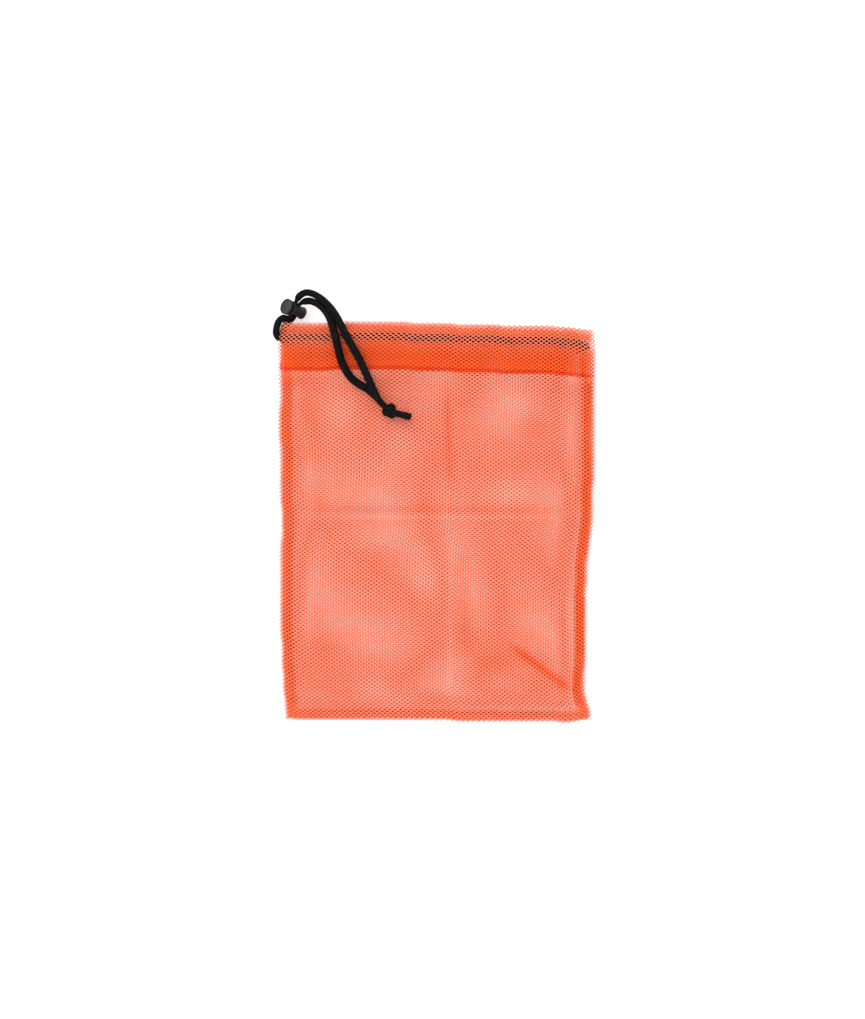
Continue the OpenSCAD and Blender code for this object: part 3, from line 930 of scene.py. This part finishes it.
def channelCutter(low, high):
    # the cords' channel: an upright ring piece with a long round section
    r = 1.7
    section = []
    for k in range(13):
        a = math.radians(-90 + 15 * k)
        section.append((high - r + r * math.cos(a), r * math.sin(a)))
    for k in range(13):
        a = math.radians(90 + 15 * k)
        section.append((low + r + r * math.cos(a), r * math.sin(a)))
    t = math.radians(arc["tilt"])
    verts, n = [], len(section)
    turns = [math.radians(100 + 4 * k) for k in range(31)]
    for b in turns:
        for p, q in section:
            rad = arc["radius"] + p * math.cos(t) - q * math.sin(t)
            verts.append(((arc["x"] + rad * math.cos(b)) * mm, (arc["y"] + rad * math.sin(b)) * mm,
                          (arc["z"] + p * math.sin(t) + q * math.cos(t)) * mm))
    faces = [(i * n + k, i * n + (k + 1) % n, (i + 1) * n + (k + 1) % n, (i + 1) * n + k)
             for i in range(len(turns) - 1) for k in range(n)]
    faces.append(tuple(range(n - 1, -1, -1)))
    faces.append(tuple((len(turns) - 1) * n + k for k in range(n)))
    cutter = newObject("channelCutter", verts, faces, smooth=False)
    only(cutter)
    bpy.ops.object.mode_set(mode="EDIT")
    bpy.ops.mesh.select_all(action="SELECT")
    bpy.ops.mesh.normals_make_consistent(inside=False)
    bpy.ops.object.mode_set(mode="OBJECT")
    return cutter


def finishTurned(obj, low, high):
    only(obj)
    bevel = obj.modifiers.new("edges", "BEVEL")
    bevel.width, bevel.segments, bevel.limit_method = lock["edge"], 3, "ANGLE"
    bevel.angle_limit = math.radians(40)
    applyAll(obj)
    obj.data.transform(lockPlace())
    cutter = channelCutter(low, high)
    cut = obj.modifiers.new("channel", "BOOLEAN")
    cut.object, cut.operation, cut.solver = cutter, "DIFFERENCE", "EXACT"
    applyAll(obj)
    bpy.data.objects.remove(cutter)
    only(obj)
    bpy.ops.object.shade_smooth_by_angle(angle=math.radians(32))
    bpy.ops.object.select_all(action="DESELECT")


barrel = turned("lockBarrel", lock["footWidth"], lock["footLow"], [
    (None, lock["footHigh"]),
    (lock["bodyWidth"] - 0.5, lock["rimLow"] - lock["footLow"] - lock["footHigh"]),
    (lock["rimWidth"], lock["rimHigh"]),
    (lock["stemWidth"] + lock["boreGap"], lock["boreLow"] - lock["rimLow"] - lock["rimHigh"])])
finishTurned(barrel, -lock["slotReach"], lock["slotReach"])
plunger = turned("lockPlunger", lock["stemWidth"], lock["stemLow"], [
    (None, lock["buttonLow"] - lock["stemLow"]), (lock["buttonWidth"], lock["buttonHigh"]),
    (lock["dishWidth"], -0.16), (lock["faceWidth"], 0.1)])
finishTurned(plunger, -lock["slotReach"], lock["slotReach"] + lock["press"])


def coilSpring():
    # wire section turned upwards round the lock's own axis
    bpy.ops.object.select_all(action="DESELECT")
    foot = lock["boreLow"] + spring["wire"] / 2 + 0.03
    bpy.ops.mesh.primitive_circle_add(vertices=10, radius=spring["wire"] / 2, fill_type="NOTHING",
                                      location=(spring["coil"], 0, foot),
                                      rotation=(math.pi / 2, 0, 0))
    obj = bpy.context.object
    obj.name = "lockSpring"
    obj.data.name = "lockSpring"
    bpy.ops.object.transform_apply(location=True, rotation=True, scale=True)
    screw = obj.modifiers.new("coils", "SCREW")
    screw.axis, screw.steps, screw.render_steps = "Z", 20, 20
    screw.angle, screw.iterations = math.tau / 2, spring["halfTurns"]
    screw.screw_offset = (lock["stemLow"] - lock["boreLow"] - spring["wire"] - 0.06) / spring["halfTurns"]
    applyAll(obj)
    bpy.ops.object.mode_set(mode="EDIT")
    bpy.ops.mesh.select_all(action="SELECT")
    bpy.ops.mesh.remove_doubles(threshold=0.001)
    bpy.ops.mesh.fill_holes(sides=0)
    bpy.ops.mesh.normals_make_consistent(inside=False)
    bpy.ops.object.mode_set(mode="OBJECT")
    obj.data.transform(lockPlace())
    bpy.ops.object.shade_smooth_by_angle(angle=math.radians(50))
    bpy.ops.object.select_all(action="DESELECT")
    return obj


spring = {"wire": 0.33, "coil": 2.2, "halfTurns": 5}
springPiece = coilSpring()
print("lock made")

# finishes

# yarn colour from deep orange to pale pink; the pale end is painted light from the floor seen through the
# holes
orange = [(0.0, (0.72, 0.035, 0.004)), (0.16, (0.95, 0.075, 0.007)),
          (0.32, (0.97, 0.118, 0.022)), (0.62, (0.97, 0.234, 0.132)), (1.0, (0.97, 0.358, 0.258))]
threadTones = [(0.3, (0.90, 0.07, 0.010)), (0.7, (0.96, 0.13, 0.03))]


def clothPaint(name, rough):
    paint = Paint(name)
    here = paint.node("ShaderNodeTexCoord", out=3)
    fine = paint.node("ShaderNodeTexNoise", {}, {"Vector": here, "Scale": 2600.0, "Detail": 2.0})
    broad = paint.node("ShaderNodeTexNoise", {}, {"Vector": here, "Scale": 70.0, "Detail": 3.0})
    # the tone attribute carries painted light and shade: paler where light comes through the net, deeper
    # where layers stack
    layers = paint.node("ShaderNodeAttribute", {"attribute_name": "tone"}, out=2)
    tone = layers + (fine * 0.16 + broad * 0.14 - 0.15)
    paint.link(paint.ramp(tone, orange), "Base Color")
    yarn = paint.node("ShaderNodeTexVoronoi", {}, {"Vector": here, "Scale": 3600.0})
    paint.link(fine * 0.25 + rough, "Roughness")
    paint.bump(yarn * 0.6 + fine * 0.6, 0.00012, 0.7)
    paint.shader.inputs["Specular IOR Level"].default_value = 0.18
    return paint.material


def threadPaintOf(name):
    paint = Paint(name)
    here = paint.node("ShaderNodeTexCoord", out=3)
    fine = paint.node("ShaderNodeTexNoise", {}, {"Vector": here, "Scale": 3000.0, "Detail": 2.0})
    paint.link(paint.ramp(fine, threadTones), "Base Color")
    paint.link(fine * 0.25 + 0.5, "Roughness")
    paint.bump(fine, 0.00005, 0.5)
    paint.shader.inputs["Specular IOR Level"].default_value = 0.18
    return paint.material


meshPaint = clothPaint("orangeMeshYarn", 0.55)
threadPaint = threadPaintOf("orangeThread")


def cordPaint():
    paint = Paint("blackBraid")
    uv = paint.node("ShaderNodeUVMap", {"uv_map": "cordUv"})
    here = paint.node("ShaderNodeTexCoord", out=3)
    fibre = paint.node("ShaderNodeTexNoise", {}, {"Vector": here, "Scale": 5200.0, "Detail": 2.0})
    broad = paint.node("ShaderNodeTexNoise", {}, {"Vector": here, "Scale": 420.0, "Detail": 2.0})
    parts = paint.tree.nodes.new("ShaderNodeSeparateXYZ")
    paint.tree.links.new(uv.socket, parts.inputs[0])
    around = Wire(paint.tree, parts.outputs[0]) * (math.pi * cord["carriers"])
    along = Wire(paint.tree, parts.outputs[1]) * (math.pi / (cord["bumpLength"] * 2 * mm))
    left = (around + along).math("SINE").math("ABSOLUTE")
    right = (around - along).math("SINE").math("ABSOLUTE")
    over = (left * right).power(0.5)
    # braid crests painted lighter, a painted highlight on each bump, and the grooves painted darker as
    # painted shade
    tone = over * 0.6 + fibre * 0.3 + broad * 0.25
    paint.link(paint.ramp(tone, [(0.35, (0.0006, 0.0006, 0.0007)), (0.74, (0.0022, 0.0022, 0.0025)),
                                 (0.94, (0.035, 0.035, 0.038))]), "Base Color")
    paint.link(fibre * 0.3 + 0.5, "Roughness")
    paint.bump(over * 0.5 + fibre * 0.35, 0.00016, 0.6)
    paint.shader.inputs["Specular IOR Level"].default_value = 0.07
    return paint.material


def plasticPaint():
    paint = Paint("blackLockPlastic")
    here = paint.node("ShaderNodeTexCoord", out=3)
    grain = paint.node("ShaderNodeTexNoise", {}, {"Vector": here, "Scale": 3800.0, "Detail": 2.0})
    broad = paint.node("ShaderNodeTexNoise", {}, {"Vector": here, "Scale": 240.0, "Detail": 3.0})
    tone = grain * 0.4 + broad * 0.6
    paint.link(paint.ramp(tone, [(0.3, (0.006, 0.0065, 0.007)), (0.7, (0.014, 0.015, 0.016))]),
               "Base Color")
    paint.link(broad * 0.16 + grain * 0.1 + 0.3, "Roughness")
    paint.bump(grain, 0.00004, 0.35)
    paint.shader.inputs["Specular IOR Level"].default_value = 0.35
    return paint.material


def springPaint():
    paint = Paint("springWire")
    here = paint.node("ShaderNodeTexCoord", out=3)
    drawn = paint.node("ShaderNodeTexNoise", {}, {"Vector": here, "Scale": 6000.0})
    paint.link(paint.ramp(drawn, [(0.3, (0.42, 0.42, 0.44)), (0.7, (0.66, 0.66, 0.68))]), "Base Color")
    paint.link(drawn * 0.2 + 0.2, "Roughness")
    paint.fixed(Metallic=1.0)
    return paint.material


def wear(obj, material):
    obj.data.materials.clear()
    obj.data.materials.append(material)


for piece in [backNet, frontNet, frontHemNet, backHemNet] + list(allowances.values()):
    wear(piece, meshPaint)
for piece in list(overlocks.values()) + [frontStitches, backStitches, tack]:
    wear(piece, threadPaint)
braidPaint = cordPaint()
cordPieces = [frontStrand, backStrand, knotPiece, tails["frontTail"], tails["backTail"], runPiece]
for piece in cordPieces:
    wear(piece, braidPaint)
lockPaint = plasticPaint()
for piece in (barrel, plunger):
    wear(piece, lockPaint)
wear(springPiece, springPaint())
print("finishes done")

# who moves with what, and what stands for what

for piece in [backNet, frontNet, frontHemNet, backHemNet, frontStitches, backStitches, tack] \
        + list(allowances.values()) + list(overlocks.values()) + cordPieces:
    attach(piece, "bag")
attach(barrel, "cord_lock")
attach(plunger, "lock_button")
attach(springPiece, "cord_lock")

standIns = {
    "back_panel": backNet, "front_panel": frontNet, "front_casing_hem": frontHemNet,
    "back_casing_hem": backHemNet, "left_seam_allowance": allowances["left"],
    "right_seam_allowance": allowances["right"], "bottom_seam_allowance": allowances["bottom"],
    "left_seam_overlock": overlocks["left"], "right_seam_overlock": overlocks["right"],
    "bottom_seam_overlock": overlocks["bottom"], "front_casing_stitching": frontStitches,
    "back_casing_stitching": backStitches, "cord_exit_bartack": tack,
    "drawcord_casing_run": runPiece, "drawcord_strand_front": frontStrand,
    "drawcord_strand_back": backStrand, "drawcord_knot": knotPiece,
    "drawcord_tail_front": tails["frontTail"], "drawcord_tail_back": tails["backTail"],
    "cord_lock_barrel": barrel, "cord_lock_plunger": plunger, "cord_lock_spring": springPiece,
}
for node, piece in standIns.items():
    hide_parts(node)

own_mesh(springPiece)

clothShare = {"front": 0.73, "back": 0.83}  # cloth left between the holes, from the strands' widths
frontCells * net["cellX"] * net["cellY"] / 2 * clothShare["front"] * 1e-6
backCells * net["cellX"] * net["cellY"] / 2 * clothShare["back"] * 1e-6
[backStitches] + list(allowances.values()) + list(overlocks.values())
for piece, width in ((frontHemNet, 0.2055), (backHemNet, 0.201)):
    width * 0.0345 * clothShare["front"]
frontLength * mm
(frontLine[::3] * mm).tolist() + [(frontLine[-1] * mm).tolist()]
backLength * mm
(backLine[::3] * mm).tolist() + [(backLine[-1] * mm).tolist()]

# floor and light

studio = {"sky": 1.08, "sunPower": 1.1, "sunAngle": 40.0, "floorTone": (0.76, 0.75, 0.75),
          "floorGlow": 0.50, "floorLight": (1.0, 0.98, 0.98)}


def makeStudio():
    bpy.ops.object.select_all(action="DESELECT")
    bpy.ops.mesh.primitive_plane_add(size=8.0, location=(0, 0, -0.0001))
    floor = bpy.context.object
    floor.name = "paleFloor"
    bpy.ops.object.transform_apply(location=True)
    paint = Paint("paleFloor")
    paint.fixed(Base_Color=(*studio["floorTone"], 1.0), Roughness=0.9,
                Emission_Color=(*studio["floorLight"], 1.0), Emission_Strength=studio["floorGlow"])
    paint.shader.inputs["Specular IOR Level"].default_value = 0.1
    wear(floor, paint.material)
    world = bpy.data.worlds.new("studioSky")
    world.use_nodes = True
    world.node_tree.nodes["Background"].inputs[0].default_value = (1.0, 1.0, 1.0, 1.0)
    world.node_tree.nodes["Background"].inputs[1].default_value = studio["sky"]
    bpy.context.scene.world = world
    light = bpy.data.lights.new("softKey", "SUN")
    light.energy = studio["sunPower"]
    light.angle = math.radians(studio["sunAngle"])
    key = bpy.data.objects.new("softKey", light)
    key.rotation_euler = (math.radians(-28), math.radians(-30), 0)
    bpy.context.scene.collection.objects.link(key)
    bpy.context.scene.view_settings.view_transform = "Standard"


makeStudio()
print("studio made")
